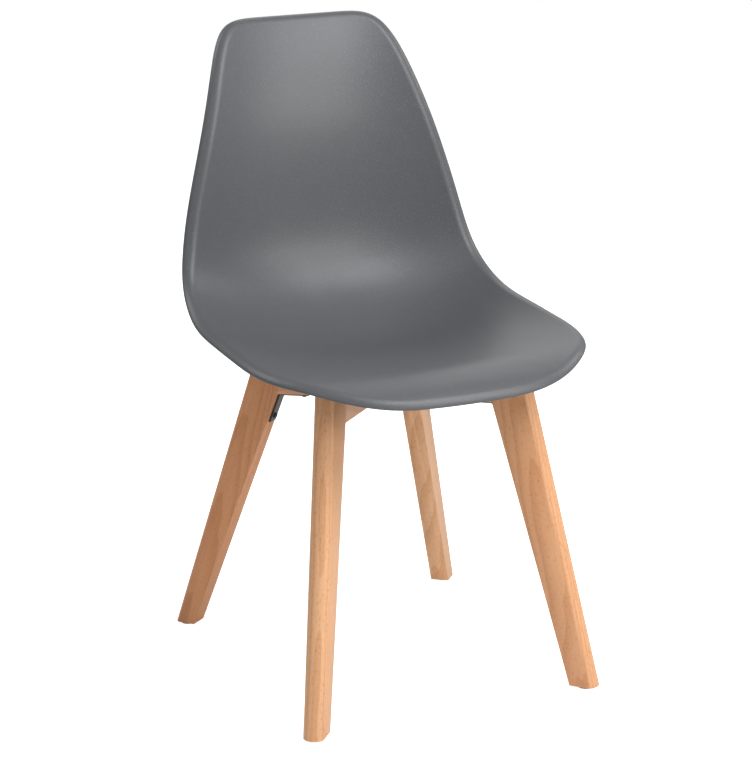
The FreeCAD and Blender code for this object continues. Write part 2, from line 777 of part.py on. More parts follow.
def lap_nut():
    body = new_body("crossing_nut")
    sketch = new_sketch(body, "nut_plan")
    hexagon(sketch, "nut", size("nut_flats"), "dims.nut_flats")
    pad(body, "nut_pad", sketch, "dims.nut_thickness")
    bore = new_sketch(body, "nut_bore")
    circle(bore, "bore", "dims.bolt_diameter / 2 + dims.thread_clearance", guess=(0, 0, 3))
    pocket(body, "nut_bore_cut", bore, reversed_way=True)
    below = lap_washer_seat() + size("lap_washer_thickness") + size("nut_thickness")
    body.Placement = lap_frame() * move(0, 0, -below)
    return body


def insert():
    """Threaded insert with two retaining grooves, standing on z = 0."""
    outer, length = size("insert_diameter") / 2, size("insert_length")
    bore, depth = size("bolt_diameter") / 2 + size("thread_clearance"), size("insert_groove")
    pitch, width = size("insert_groove_pitch"), size("insert_groove_width")
    bore_formula = "dims.bolt_diameter / 2 + dims.thread_clearance"
    outer_formula = "dims.insert_diameter / 2"
    points = [(bore, 0), (outer, 0)]
    place = [(bore_formula, None), (outer_formula, None)]
    for groove in (1, 2):
        start = f"{groove} * dims.insert_groove_pitch"
        finish = f"{start} + dims.insert_groove_width"
        floor = f"{outer_formula} - dims.insert_groove"
        low, high = groove * pitch, groove * pitch + width
        points += [(outer, low), (outer - depth, low), (outer - depth, high), (outer, high)]
        place += [(outer_formula, start), (floor, start), (floor, finish), (outer_formula, finish)]
    points += [(outer, length), (bore, length)]
    place += [(outer_formula, "dims.insert_length"), (bore_formula, "dims.insert_length")]
    return turned("insert", points, place)


def spring_washer():
    """Split ring: a washer with a slit across one side."""
    body = ring(
        "spring_washer",
        "dims.spring_washer_diameter / 2",
        "dims.bolt_diameter / 2 + dims.bolt_clearance",
        "dims.spring_washer_thickness",
        (5, 3),
    )
    sketch = new_sketch(body, "spring_washer_slit")
    half, reach = size("spring_washer_slit") / 2, size("spring_washer_diameter")
    polygon(sketch, [(0, -half), (reach, -half), (reach, half), (0, half)])
    place_corner(sketch, 0, "slit_0", None, "-dims.spring_washer_slit / 2")
    place_corner(sketch, 1, "slit_1", "dims.spring_washer_diameter", "-dims.spring_washer_slit / 2")
    place_corner(sketch, 2, "slit_2", "dims.spring_washer_diameter", "dims.spring_washer_slit / 2")
    place_corner(sketch, 3, "slit_3", None, "dims.spring_washer_slit / 2")
    pocket(body, "spring_washer_cut", sketch, reversed_way=True)
    return body


def dowel():
    """Beech dowel with chamfered ends, centred on its own origin."""
    radius, half = size("dowel_diameter") / 2, size("dowel_length") / 2
    chamfer = size("dowel_chamfer")
    return turned("dowel", [
        (0, -half), (radius - chamfer, -half), (radius, chamfer - half),
        (radius, half - chamfer), (radius - chamfer, half), (0, half),
    ], [
        (None, "-dims.dowel_length / 2"),
        ("dims.dowel_diameter / 2 - dims.dowel_chamfer", "-dims.dowel_length / 2"),
        ("dims.dowel_diameter / 2", "dims.dowel_chamfer - dims.dowel_length / 2"),
        ("dims.dowel_diameter / 2", "dims.dowel_length / 2 - dims.dowel_chamfer"),
        ("dims.dowel_diameter / 2 - dims.dowel_chamfer", "dims.dowel_length / 2"),
        (None, "dims.dowel_length / 2"),
    ])


def nail():
    """Nail that holds a glide: its head sits inside the glide and its point is up."""
    radius, length = size("nail_diameter") / 2, size("nail_length")
    head, rise = size("nail_head") / 2, size("nail_head_thickness")
    return turned("nail", [
        (0, -rise), (head, -rise), (head, 0),
        (radius, 0), (radius, length - size("nail_point")), (0, length),
    ], [
        (None, "-dims.nail_head_thickness"),
        ("dims.nail_head / 2", "-dims.nail_head_thickness"),
        ("dims.nail_head / 2", None),
        ("dims.nail_diameter / 2", None),
        ("dims.nail_diameter / 2", "dims.nail_length - dims.nail_point"),
        (None, "dims.nail_length"),
    ])


def glide(leg):
    """Plastic disc under one foot, with a stepped hole that takes the nail's head from below."""
    radius, height = size("glide_diameter") / 2, size("glide_thickness")
    chamfer, seat = size("glide_chamfer"), nail_seat()
    shank = size("nail_diameter") / 2 + size("nail_clearance")
    head = size("nail_head") / 2 + size("nail_head_clearance")
    seat_formula = "dims.nail_head_sink + dims.nail_head_thickness"
    shank_formula = "dims.nail_diameter / 2 + dims.nail_clearance"
    head_formula = "dims.nail_head / 2 + dims.nail_head_clearance"
    body = turned(f"glide_{leg}", [
        (head, 0), (radius - chamfer, 0), (radius, chamfer), (radius, height),
        (shank, height), (shank, seat), (head, seat),
    ], [
        (head_formula, None),
        ("dims.glide_diameter / 2 - dims.glide_chamfer", None),
        ("dims.glide_diameter / 2", "dims.glide_chamfer"),
        ("dims.glide_diameter / 2", "dims.glide_thickness"),
        (shank_formula, "dims.glide_thickness"),
        (shank_formula, seat_formula),
        (head_formula, seat_formula),
    ])
    body.Placement = Placement(foot_centre(leg), Rotation())
    return body


# Seat shell: its centre line, outline and side lift are smooth curves through guide points

def blend_weights(share):
    """Weights of four neighbouring guide points of a uniform cubic spline."""
    rest = 1 - share
    return (
        rest ** 3 / 6,
        (3 * share ** 3 - 6 * share ** 2 + 4) / 6,
        (3 * rest ** 3 - 6 * rest ** 2 + 4) / 6,
        share ** 3 / 6,
    )


def on_spline(guides, position):
    """Point of the open spline at a position from 0 to len(guides) - 3."""
    first = min(max(int(math.floor(position)), 0), len(guides) - 4)
    weights = blend_weights(position - first)
    near = guides[first:first + 4]
    return sum((near[k] * weights[k] for k in range(1, 4)), near[0] * weights[0])


def on_loop(guides, position):
    """Point of the closed spline; the position counts guide points."""
    first = int(math.floor(position))
    weights = blend_weights(position - first)
    near = [guides[(first + k) % len(guides)] for k in range(4)]
    return sum((near[k] * weights[k] for k in range(1, 4)), near[0] * weights[0])


PROFILE_NAMES = [
    "tail", "edge", "brow", "crest", "shelf", "pan_front", "pan", "pan_rear", "bend", "lumbar",
    "crown", "crown_tail",
]
LIFT_NAMES = ["tail", "edge", "thigh", "hip", "waist", "loin", "shoulder", "crown"]
crossing = Vector(0, size("crossing_y"), size("crossing_height"))
profile_guides = [crossing + Vector(0, size(f"{name}_y"), size(f"{name}_z")) for name in PROFILE_NAMES]
lift_guides = [size(f"lift_{name}") for name in LIFT_NAMES]

# Lengths along the centre line, stepped finely enough to measure the outline on
PROFILE_STEPS = 800
profile_span = len(profile_guides) - 3
profile_points = [
    on_spline(profile_guides, profile_span * k / PROFILE_STEPS) for k in range(PROFILE_STEPS + 1)
]
profile_lengths = [0.0]
for before, after in zip(profile_points, profile_points[1:]):
    profile_lengths.append(profile_lengths[-1] + (after - before).Length)
profile_length = profile_lengths[-1]


def profile_at(along):
    """Point and direction of the centre line at a distance from its front end."""
    inside = min(max(along, 0.0), profile_length)
    low, high = 0, PROFILE_STEPS
    while high - low > 1:
        middle = (low + high) // 2
        low, high = (middle, high) if profile_lengths[middle] <= inside else (low, middle)
    share = (inside - profile_lengths[low]) / (profile_lengths[high] - profile_lengths[low])
    position = profile_span * (low + share) / PROFILE_STEPS
    step = 1e-3
    start = min(max(position - step, 0), profile_span - 2 * step)
    direction = on_spline(profile_guides, start + 2 * step) - on_spline(profile_guides, start)
    direction.normalize()
    return on_spline(profile_guides, position) + direction * (along - inside), direction


def shell_point(x, along):
    """Point of the shell's upper face at a half-width and a distance along the centre line."""
    base, direction = profile_at(along)
    towards_sitter = Vector(0, -direction.z, direction.y)
    station = min(max(along / profile_length, 0), 1) * (len(lift_guides) - 3)
    rise = on_spline(lift_guides, station) * (abs(x) / size("lift_width")) ** size("lift_power")
    return base + Vector(x, 0, 0) + towards_sitter * rise


def shell_normal(x, along):
    """Unit vector off the shell towards the sitter."""
    step = 0.5
    across = shell_point(x + step, along) - shell_point(x - step, along)
    lengthwise = shell_point(x, along + step) - shell_point(x, along - step)
    normal = across.cross(lengthwise)
    return normal.normalize()


outline_right = [
    Vector(size("nose_x"), 0, 0),
    Vector(size("toe_x"), size("toe_along"), 0),
    Vector(size("corner_x"), size("corner_along"), 0),
    Vector(size("thigh_x"), size("thigh_along"), 0),
    Vector(size("hip_x"), size("hip_along"), 0),
    Vector(size("waist_x"), size("waist_along"), 0),
    Vector(size("loin_x"), size("loin_along"), 0),
    Vector(size("shoulder_x"), profile_length - size("shoulder_below_top"), 0),
    Vector(size("temple_x"), profile_length - size("temple_below_top"), 0),
    Vector(size("crown_x"), profile_length, 0),
]
outline_left = [Vector(-point.x, point.y, 0) for point in reversed(outline_right)]
outline_guides = outline_right + outline_left

# The upper and lower faces are woven from spokes, which start in the middle of the
# shell and run over the rim, and from rings round it
SPOKES_PER_GUIDE = 4
SPOKE_COUNT = SPOKES_PER_GUIDE * len(outline_guides)
POLE_ROUNDS = 40
PAN_SHARES = [0.0, 0.1, 0.22, 0.36, 0.5, 0.64, 0.77, 0.88, 0.95, 1.0]
LIP_SHARES = [1 / 6, 1 / 3, 1 / 2, 2 / 3, 5 / 6, 1.0]
# How closely the flatter nose keeps to the middle of the front edge
NOSE_POWER = 2
middle_of_shell = Vector(0, profile_length / 2, 0)


class Spoke:
    """One line from the middle of the shell to its rim."""

    def __init__(self, index):
        # Half a guide back puts the first spoke on the middle of the front edge
        position = index / SPOKES_PER_GUIDE - 1.5
        self.end = on_loop(outline_guides, position)
        frontness = min(max(1 - self.end.y / middle_of_shell.y, 0), 1) ** NOSE_POWER
        self.turn = math.radians(size("lip_turn") + (size("nose_turn") - size("lip_turn")) * frontness)
        self.rim = shell_point(self.end.x, self.end.y)
        self.normal = shell_normal(self.end.x, self.end.y)

    def aim(self, before, after):
        """Finds the outward direction, square to the rim and in the shell's face."""
        rim_direction = (after.rim - before.rim).normalize()
        self.outwards = rim_direction.cross(self.normal).normalize()

    def pan(self, share, depth):
        """Point under the upper face, at a share of the way to the rim."""
        flat = middle_of_shell + (self.end - middle_of_shell) * share
        return shell_point(flat.x, flat.y) - shell_normal(flat.x, flat.y) * depth

    def lip(self, share, depth):
        """Point on the rolled rim."""
        angle = self.turn * share
        radius = size("lip_radius") - depth
        centre = self.rim - self.normal * size("lip_radius")
        spread = self.normal * math.cos(angle) + self.outwards * math.sin(angle)
        return centre + spread * radius

    def end_direction(self):
        """Direction in which the rim ends."""
        return self.outwards * math.cos(self.turn) - self.normal * math.sin(self.turn)


spokes = [Spoke(index) for index in range(SPOKE_COUNT)]
for index, spoke in enumerate(spokes):
    spoke.aim(spokes[index - 1], spokes[(index + 1) % SPOKE_COUNT])


def ring_poles(points):
    """Poles of the closed uniform spline that passes through evenly counted points."""
    poles = list(points)
    count = len(points)
    for _ in range(POLE_ROUNDS):
        reached = [(poles[i - 1] + poles[i] * 4 + poles[(i + 1) % count]) / 6 for i in range(count)]
        poles = [pole + point - place for pole, point, place in zip(poles, points, reached)]
    return poles


def woven_face(rings, parameters):
    """A face, closed round the shell, through all the rings."""
    rows = [ring_poles(points) for points in rings]
    columns = []
    for index in range(SPOKE_COUNT):
        curve = Part.BSplineCurve()
        curve.interpolate(Points=[row[index] for row in rows], Parameters=parameters)
        columns.append(curve.getPoles())
    knots, multiplicities = curve.getKnots(), curve.getMultiplicities()
    round_knots = list(range(SPOKE_COUNT + 1))
    surface = Part.BSplineSurface()
    surface.buildFromPolesMultsKnots(
        columns, [1] * len(round_knots), multiplicities, round_knots, knots, True, False, 3, curve.Degree
    )
    return surface.toShape()


def shell_face(depth):
    rings = [[spoke.pan(share, depth) for spoke in spokes] for share in PAN_SHARES]
    rings += [[spoke.lip(share, depth) for spoke in spokes] for share in LIP_SHARES]
    mean_reach = sum((spoke.rim - rings[0][0]).Length for spoke in spokes) / SPOKE_COUNT
    lip_length = size("lip_radius") * math.radians(size("lip_turn"))
    parameters = [share * mean_reach for share in PAN_SHARES]
    parameters += [mean_reach + share * lip_length for share in LIP_SHARES]
    return woven_face(rings, parameters)


def rim_end_face(wall):
    """The rounded end of the rim, from the upper face's edge to the lower face's edge."""
    upper = ring_poles([spoke.lip(1, 0) for spoke in spokes])
    lower = ring_poles([spoke.lip(1, wall) for spoke in spokes])
    bulge = size("edge_round") * 4 / 3
    upper_bulged = ring_poles([spoke.lip(1, 0) + spoke.end_direction() * bulge for spoke in spokes])
    lower_bulged = ring_poles([spoke.lip(1, wall) + spoke.end_direction() * bulge for spoke in spokes])
    columns = [list(poles) for poles in zip(upper, upper_bulged, lower_bulged, lower)]
    round_knots = list(range(SPOKE_COUNT + 1))
    surface = Part.BSplineSurface()
    surface.buildFromPolesMultsKnots(
        columns, [1] * len(round_knots), [4, 4], round_knots, [0, 1], True, False, 3, 3
    )
    return surface.toShape()


def shell_skin():
    """The bare shell: two parallel faces joined round the rim."""
    wall = size("wall")
    faces = [shell_face(0), rim_end_face(wall), shell_face(wall)]
    joined = Part.makeShell(faces)
    joined.sewShape()
    solid = Part.Solid(joined)
    if solid.Volume < 0:
        solid.reverse()
    skin = doc.addObject("Part::Feature", "shell_skin")
    skin.Shape = solid
    return skin


def under_pan():
    """Everything below the middle of the shell's wall, round the four bosses."""
    reach = max(size("front_bolt_reach"), size("rear_bolt_reach")) + 2 * size("rib_reach")
    steps = 12
    start, finish = pan_range(reach)
    grid = []
    for row in range(steps + 1):
        x = reach * (2 * row / steps - 1)
        line = []
        for column in range(steps + 1):
            along = start + (finish - start) * column / steps
            line.append(shell_point(x, along) - shell_normal(x, along) * (size("wall") / 2))
        grid.append(line)
    surface = Part.BSplineSurface()
    surface.interpolate(grid)
    drop = size("boss_diameter") + size("rib_reach")
    block = doc.addObject("Part::Feature", "under_pan")
    block.Shape = surface.toShape().extrude(Vector(0, 0, -drop))
    return block


def pan_range(reach):
    """Distances along the centre line that lie within a reach of the crossing."""
    inside = [
        length for length, point in zip(profile_lengths, profile_points)
        if abs(point.y - crossing.y) < reach and point.z < crossing.z + size("bend_z")
    ]
    return inside[0], inside[-1]


def boss_frame(leg):
    """On the face of the boss that rests on its spacer, with Z up into the shell."""
    return bolt_frame(leg) * move(0, 0, size("bar_depth") + size("spacer_thickness"))


def boss(leg, block):
    """A boss and its crossed ribs, made too tall and then trimmed inside the shell's wall."""
    height = "dims.boss_diameter + dims.rib_reach"
    post = cylinder(f"boss_post_{leg}", "dims.boss_diameter / 2", height, boss_frame(leg))
    solids = [post]
    for turn_angle in (45, 135):
        rib = box(
            f"boss_rib_{leg}_{turn_angle}",
            "2 * dims.rib_reach",
            "dims.rib_thickness",
            height,
            boss_frame(leg) * turn(Z_AXIS, turn_angle)
            * move(-size("rib_reach"), -size("rib_thickness") / 2, size("rib_setback")),
        )
        solids.append(rib)
    joined = doc.addObject("Part::MultiFuse", f"boss_blank_{leg}")
    joined.Shapes = solids
    trimmed = doc.addObject("Part::Common", f"boss_{leg}")
    trimmed.Base = joined
    trimmed.Tool = block
    return trimmed


def seat_shell():
    block = under_pan()
    moulded = doc.addObject("Part::MultiFuse", "moulded_shell")
    moulded.Shapes = [shell_skin()] + [boss(leg, block) for leg in LEGS]
    bores = [
        cylinder(
            f"insert_bore_{leg}",
            "dims.insert_diameter / 2 + dims.insert_clearance",
            "dims.insert_length + dims.insert_bore_spare + dims.tool_spare",
            boss_frame(leg) * move(0, 0, -size("tool_spare")),
        )
        for leg in LEGS
    ]
    return cut("seat_shell", moulded, bores)


# The chair's pieces

pieces = [
    seat_shell(),
    crossbar("crossbar_lower", "left"),
    crossbar("crossbar_upper", "right"),
]
for leg in LEGS:
    pieces += [leg_piece(leg), bracket(leg), glide(leg)]

dowel_master = dowel()
for leg in LEGS:
    pieces.append(group(f"dowels_{leg}", dowel_master, dowel_frames(leg)))

screw_master = wood_screw()
on_bracket = move(0, 0, -size("bracket_thickness"))
for place, frame_of in (("leg", leg_screw_frame), ("bar", bar_screw_frame)):
    frames = [frame_of(leg) * on_bracket for leg in LEGS]
    pieces.append(group(f"bracket_{place}_screws", screw_master, frames))

bolt_bore = "dims.bolt_diameter / 2 + dims.bolt_clearance"
seat_washer = ring("washer", "dims.washer_diameter / 2", bolt_bore, "dims.washer_thickness", (8, 3))
spacer = ring("spacer", "dims.spacer_diameter / 2", bolt_bore, "dims.spacer_thickness", (10, 3))
washer_drop = size("washer_thickness")
bolt_drop = washer_drop + size("spring_washer_thickness")
seat_stack = [
    ("seat_washers", seat_washer, -washer_drop),
    ("seat_spring_washers", spring_washer(), -bolt_drop),
    ("seat_bolts", shell_bolt(), -bolt_drop),
    ("seat_spacers", spacer, size("bar_depth")),
]
for label, master, level in seat_stack:
    pieces.append(group(label, master, [bolt_frame(leg) * move(0, 0, level) for leg in LEGS]))
pieces.append(group("seat_inserts", insert(), [boss_frame(leg) for leg in LEGS]))

lap_washer = ring(
    "lap_washer", "dims.lap_washer_diameter / 2", bolt_bore, "dims.lap_washer_thickness", (8, 3)
)
lap_washer_levels = [lap_washer_seat(), -lap_washer_seat() - size("lap_washer_thickness")]
lap_washer_frames = [lap_frame() * move(0, 0, level) for level in lap_washer_levels]
pieces += [lap_bolt(), lap_nut(), group("crossing_washers", lap_washer, lap_washer_frames)]

nail_frames = [Placement(foot_centre(leg), Rotation()) * move(0, 0, nail_seat()) for leg in LEGS]
pieces.append(group("glide_nails", nail(), nail_frames))

doc.recompute()

# Every object must be sound before anything is written

for item in doc.Objects:
    if "Invalid" in item.State or "Error" in item.State:
        raise RuntimeError(f"{item.Name} did not compute: {item.State}")
for piece in pieces:
    if piece.Shape.isNull() or not piece.Shape.isValid():
        raise RuntimeError(f"{piece.Label} has no valid shape")

for piece in pieces:
    piece.Shape.exportStep(f"parts/{piece.Label}.step")
    print(piece.Label, "solids", len(piece.Shape.Solids), "volume", round(piece.Shape.Volume))
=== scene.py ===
import math

import bmesh
import bpy
import numpy as np
from mathutils import Euler, Matrix, Vector


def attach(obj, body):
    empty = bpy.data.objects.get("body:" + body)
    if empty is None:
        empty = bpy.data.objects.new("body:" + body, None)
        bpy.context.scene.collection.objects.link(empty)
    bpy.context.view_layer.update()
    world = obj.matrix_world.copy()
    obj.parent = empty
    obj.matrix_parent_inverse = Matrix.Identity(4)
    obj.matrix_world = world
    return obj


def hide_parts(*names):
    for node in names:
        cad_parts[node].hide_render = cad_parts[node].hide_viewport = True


# A moulded plastic shell chair on beech legs, dressed over its solids.
# Lengths are in millimetres and angles in degrees; meshes are made in metres.

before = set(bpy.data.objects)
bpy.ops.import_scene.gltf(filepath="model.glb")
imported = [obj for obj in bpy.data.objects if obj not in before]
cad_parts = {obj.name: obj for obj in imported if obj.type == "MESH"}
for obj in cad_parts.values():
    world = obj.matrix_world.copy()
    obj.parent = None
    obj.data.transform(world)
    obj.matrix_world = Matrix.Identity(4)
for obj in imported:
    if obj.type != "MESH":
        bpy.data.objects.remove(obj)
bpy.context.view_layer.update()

MM = 0.001

# Sizes shared by the wood and the shell. The bars cross at (0, CROSSING_Y) and lean down towards
# the back; reaches run along a bar from the crossing. A leg's end is -1 in front and 1 behind,
# its side -1 on the left and 1 on the right.

CROSSING_Y = 19.72
CROSSING_HEIGHT = 355.0
BAR_ANGLE = 50.4
BAR_TILT = 3.8
BAR_DEPTH = 42.0
SPACER_THICKNESS = 3.0
LEGS = {
    "front_left": {"side": -1, "end": -1},
    "front_right": {"side": 1, "end": -1},
    "rear_left": {"side": -1, "end": 1},
    "rear_right": {"side": 1, "end": 1},
}
BOLT_REACH = {-1: 100.0, 1: 76.0}
CORNER_REACH = {-1: 171.0, 1: 141.0}
LEG_LEAN = {-1: 14.2, 1: 21.7}
LEG_MIDDLE = 26.0


def bar_heading(leg):
    """Unit vector along the bar, level and outwards, from the crossing to this leg."""
    angle = math.radians(BAR_ANGLE)
    return Vector((leg["side"] * math.cos(angle), leg["end"] * math.sin(angle), 0))


def bar_point(leg, reach):
    """Point on the bar's lower edge, a distance out from the crossing."""
    tilt = math.radians(BAR_TILT)
    outwards = bar_heading(leg) * (reach * math.cos(tilt))
    drop = leg["end"] * reach * math.sin(tilt)
    return Vector((0, CROSSING_Y, CROSSING_HEIGHT - drop)) + outwards


def axes(x, z):
    """Rotation whose Z axis is z and whose X axis is x, made square to it."""
    z = z.normalized()
    y = z.cross(x).normalized()
    return Matrix((y.cross(z), y, z)).transposed()


# Seat shell: its centre line, outline and side lift are uniform cubic B-splines over guides, from
# the front edge to the top of the back. The centre line is measured from the bars' crossing. The
# outline gives half-widths at distances along the centre line, from its front end or from its top.
# The rim rolls through LIP_TURN at the sides and the back, and NOSE_TURN at the front edge.

WALL = 5.0
LIP_RADIUS = 13.0
LIP_TURN = 88.0
NOSE_TURN = 52.0
NOSE_POWER = 2
EDGE_ROUND = 2.4
LIFT_POWER = 2.4
LIFT_WIDTH = 220.0
CENTRE_LINE = [
    (-309, 42.5), (-284.6, 73.5), (-256, 83), (-226, 89), (-190, 84.5), (-125, 74), (-10, 58),
    (92, 56), (200, 137), (170, 323), (226, 482.5), (269.5, 514.5),
]
SIDE_LIFT = [-23.5, -12.7, 28.6, 63.7, 59.8, 53.7, 87.5, 9.8]
OUTLINE_FROM_FRONT = [
    (37, 0), (125, 6), (208, 102), (206, 194), (206, 331), (194, 477), (176, 588),
]
OUTLINE_FROM_TOP = [(133, 101), (105, 7), (69, 0)]

# Spokes run from the middle of the shell to its rim, and rings go round it. The first spoke stands
# in the middle of the front edge; the rim's direction is taken GUIDE_SPAN guides to either side.
SPOKES_PER_GUIDE = 14
OUTLINE_START = -1.5
GUIDE_SPAN = 0.25
PAN_RINGS = 56
PAN_CROWDING = 0.9
LIP_RINGS = 14
EDGE_RINGS = 6


def weights(share):
    """Weights of four neighbouring guides of a uniform cubic B-spline."""
    rest = 1 - share
    return (
        rest ** 3 / 6,
        (3 * share ** 3 - 6 * share ** 2 + 4) / 6,
        (3 * rest ** 3 - 6 * rest ** 2 + 4) / 6,
        share ** 3 / 6,
    )


def on_spline(guides, position):
    """Points on an open cubic B-spline."""
    first = np.clip(np.floor(position).astype(int), 0, len(guides) - 4)
    blend = weights(position - first)
    return sum(blend[k][..., None] * guides[first + k] for k in range(4))


def on_loop(guides, position):
    """Points on a closed cubic B-spline."""
    first = np.floor(position).astype(int)
    blend = weights(position - first)
    return sum(blend[k][..., None] * guides[(first + k) % len(guides)] for k in range(4))


def unit(vectors):
    """The vectors scaled to length 1."""
    return vectors / np.linalg.norm(vectors, axis=-1, keepdims=True)


class ShellRule:
    """The shell's upper face as a rule: a point for each half-width and distance along."""

    STEPS = 800

    def __init__(self):
        crossing = np.array((0, CROSSING_Y, CROSSING_HEIGHT))
        self.centre = np.array([(0, y, z) for y, z in CENTRE_LINE], float) + crossing
        self.lift = np.array(SIDE_LIFT, float)[:, None]
        self.span = len(self.centre) - 3
        self.positions = np.linspace(0, self.span, self.STEPS + 1)
        points = on_spline(self.centre, self.positions)
        steps = np.linalg.norm(np.diff(points, axis=0), axis=1)
        self.lengths = np.concatenate(([0], np.cumsum(steps)))
        self.length = self.lengths[-1]
        right = [(x, along) for x, along in OUTLINE_FROM_FRONT]
        right += [(x, self.length - below) for x, below in OUTLINE_FROM_TOP]
        left = [(-x, along) for x, along in reversed(right)]
        self.outline = np.array(right + left, float)

    def centre_line(self, along):
        """Points and directions of the centre line, run straight on past its ends."""
        inside = np.clip(along, 0, self.length)
        position = np.interp(inside, self.lengths, self.positions)
        step = 1e-3
        start = np.clip(position - step, 0, self.span - 2 * step)
        direction = unit(on_spline(self.centre, start + 2 * step) - on_spline(self.centre, start))
        return on_spline(self.centre, position) + direction * (along - inside)[..., None], direction

    def point(self, x, along):
        """Points on the upper face; the sides are lifted towards the sitter."""
        base, direction = self.centre_line(along)
        to_sitter = np.stack(
            (np.zeros_like(along), -direction[..., 2], direction[..., 1]), axis=-1
        )
        station = np.clip(along / self.length, 0, 1) * (len(self.lift) - 3)
        rise = on_spline(self.lift, station)[..., 0] * (np.abs(x) / LIFT_WIDTH) ** LIFT_POWER
        sideways = np.stack((x, np.zeros_like(x), np.zeros_like(x)), axis=-1)
        return base + sideways + to_sitter * rise[..., None]

    def normal(self, x, along):
        """Unit vectors off the shell towards the sitter."""
        step = 0.5
        across = self.point(x + step, along) - self.point(x - step, along)
        lengthwise = self.point(x, along + step) - self.point(x, along - step)
        return unit(np.cross(across, lengthwise))


def shell_rings(rule):
    """Rings of points from the middle of the upper face, over the rolled rim, to the middle below."""
    count = SPOKES_PER_GUIDE * len(rule.outline)
    ends = on_loop(rule.outline, np.arange(count) / SPOKES_PER_GUIDE + OUTLINE_START)
    middle = np.array([0, rule.length / 2])
    frontness = np.clip((middle[1] - ends[:, 1]) / middle[1], 0, 1) ** NOSE_POWER
    turn = np.radians(LIP_TURN + (NOSE_TURN - LIP_TURN) * frontness)[:, None]
    rim = rule.point(ends[:, 0], ends[:, 1])
    normal = rule.normal(ends[:, 0], ends[:, 1])
    reach = round(SPOKES_PER_GUIDE * GUIDE_SPAN)
    outwards = unit(np.cross(unit(np.roll(rim, -reach, 0) - np.roll(rim, reach, 0)), normal))

    def pan(share, depth):
        flat = middle + (ends - middle) * share
        face = rule.point(flat[:, 0], flat[:, 1])
        return face - rule.normal(flat[:, 0], flat[:, 1]) * depth

    def lip(share, depth):
        angle = turn * share
        centre = rim - normal * LIP_RADIUS
        spread = normal * np.cos(angle) + outwards * np.sin(angle)
        return centre + spread * (LIP_RADIUS - depth)

    def edge(share):
        """The rim's rounded end, a cubic arch from the upper face to the lower one."""
        onwards = (outwards * np.cos(turn) - normal * np.sin(turn)) * (EDGE_ROUND * 4 / 3)
        upper, lower = lip(1, 0), lip(1, WALL)
        rest = 1 - share
        return (
            upper * rest ** 3
            + (upper + onwards) * 3 * rest ** 2 * share
            + (lower + onwards) * 3 * rest * share ** 2
            + lower * share ** 3
        )

    # Rings crowd together towards the rim, where the shell turns most
    pan_shares = np.sin(np.linspace(0, math.pi / 2, PAN_RINGS + 1)[1:]) ** PAN_CROWDING
    lip_shares = np.linspace(0, 1, LIP_RINGS + 1)[1:]
    edge_shares = np.linspace(0, 1, EDGE_RINGS + 1)[1:-1]
    upper = [pan(share, 0) for share in pan_shares] + [lip(share, 0) for share in lip_shares]
    lower = [pan(share, WALL) for share in pan_shares] + [lip(share, WALL) for share in lip_shares]
    rings = upper + [edge(share) for share in edge_shares] + lower[::-1]
    poles = [pan(0, 0)[0], pan(0, WALL)[0]]
    return rings, poles


def ring_mesh(name, rings, poles):
    """A closed mesh over rings of equally many points, with one pole at each end."""
    count = len(rings[0])
    points = [poles[0]] + [point for ring in rings for point in ring] + [poles[1]]
    last_pole = len(points) - 1
    last_ring = last_pole - count
    faces = []
    for index in range(count):
        after = (index + 1) % count
        faces.append((0, 1 + index, 1 + after))
        faces.append((last_pole, last_ring + after, last_ring + index))
        for ring in range(len(rings) - 1):
            low, high = 1 + ring * count, 1 + (ring + 1) * count
            faces.append((low + index, high + index, high + after, low + after))
    mesh = bpy.data.meshes.new(name)
    mesh.from_pydata([tuple(float(c) * MM for c in point) for point in points], [], faces)
    face_outwards(mesh)
    return mesh


def face_outwards(mesh):
    """Turns every face outwards and shades it smooth."""
    cage = bmesh.new()
    cage.from_mesh(mesh)
    bmesh.ops.recalc_face_normals(cage, faces=cage.faces)
    for face in cage.faces:
        face.smooth = True
    cage.to_mesh(mesh)
    cage.free()


def add_object(name, mesh):
    piece = bpy.data.objects.new(name, mesh)
    bpy.context.scene.collection.objects.link(piece)
    return piece


# Node trees: one way to add any node, and numbers that can be written as expressions

class Value:
    """A number that varies over a surface; an expression on it adds its Math nodes."""

    def __init__(self, tree, socket):
        self.tree = tree
        self.socket = socket

    def maths(self, operation, *operands):
        """The result of one Math node."""
        node = self.tree.add("ShaderNodeMath", dict(enumerate(operands)), operation=operation)
        return Value(self.tree, node.outputs[0])

    def __add__(self, other):
        return self.maths("ADD", self, other)

    def __sub__(self, other):
        return self.maths("SUBTRACT", self, other)

    def __rsub__(self, other):
        return self.maths("SUBTRACT", other, self)

    def __mul__(self, other):
        return self.maths("MULTIPLY", self, other)

    def __truediv__(self, other):
        return self.maths("DIVIDE", self, other)

    def __pow__(self, other):
        return self.maths("POWER", self, other)

    def __gt__(self, other):
        return self.maths("GREATER_THAN", self, other)

    __radd__ = __add__

    def fraction(self):
        return self.maths("FRACT", self)

    def between(self, low, high):
        """0 below low, 1 above high, and an easy slope from one to the other."""
        node = self.tree.add(
            "ShaderNodeMapRange",
            {"Value": self, "From Min": low, "From Max": high},
            interpolation_type="SMOOTHSTEP",
        )
        return Value(self.tree, node.outputs[0])


class Tree:
    """A node tree that is filled by calls."""

    def __init__(self, tree):
        self.tree = tree

    def add(self, kind, inputs=None, **settings):
        """Adds a node: its settings first, then values or links for its inputs by name or number."""
        node = self.tree.nodes.new(kind)
        for name, value in settings.items():
            setattr(node, name, value)
        for name, value in (inputs or {}).items():
            self.feed(node.inputs[name], value)
        return node

    def feed(self, socket, value):
        if isinstance(value, Value):
            value = value.socket
        if isinstance(value, bpy.types.NodeSocket):
            self.tree.links.new(value, socket)
        else:
            socket.default_value = value


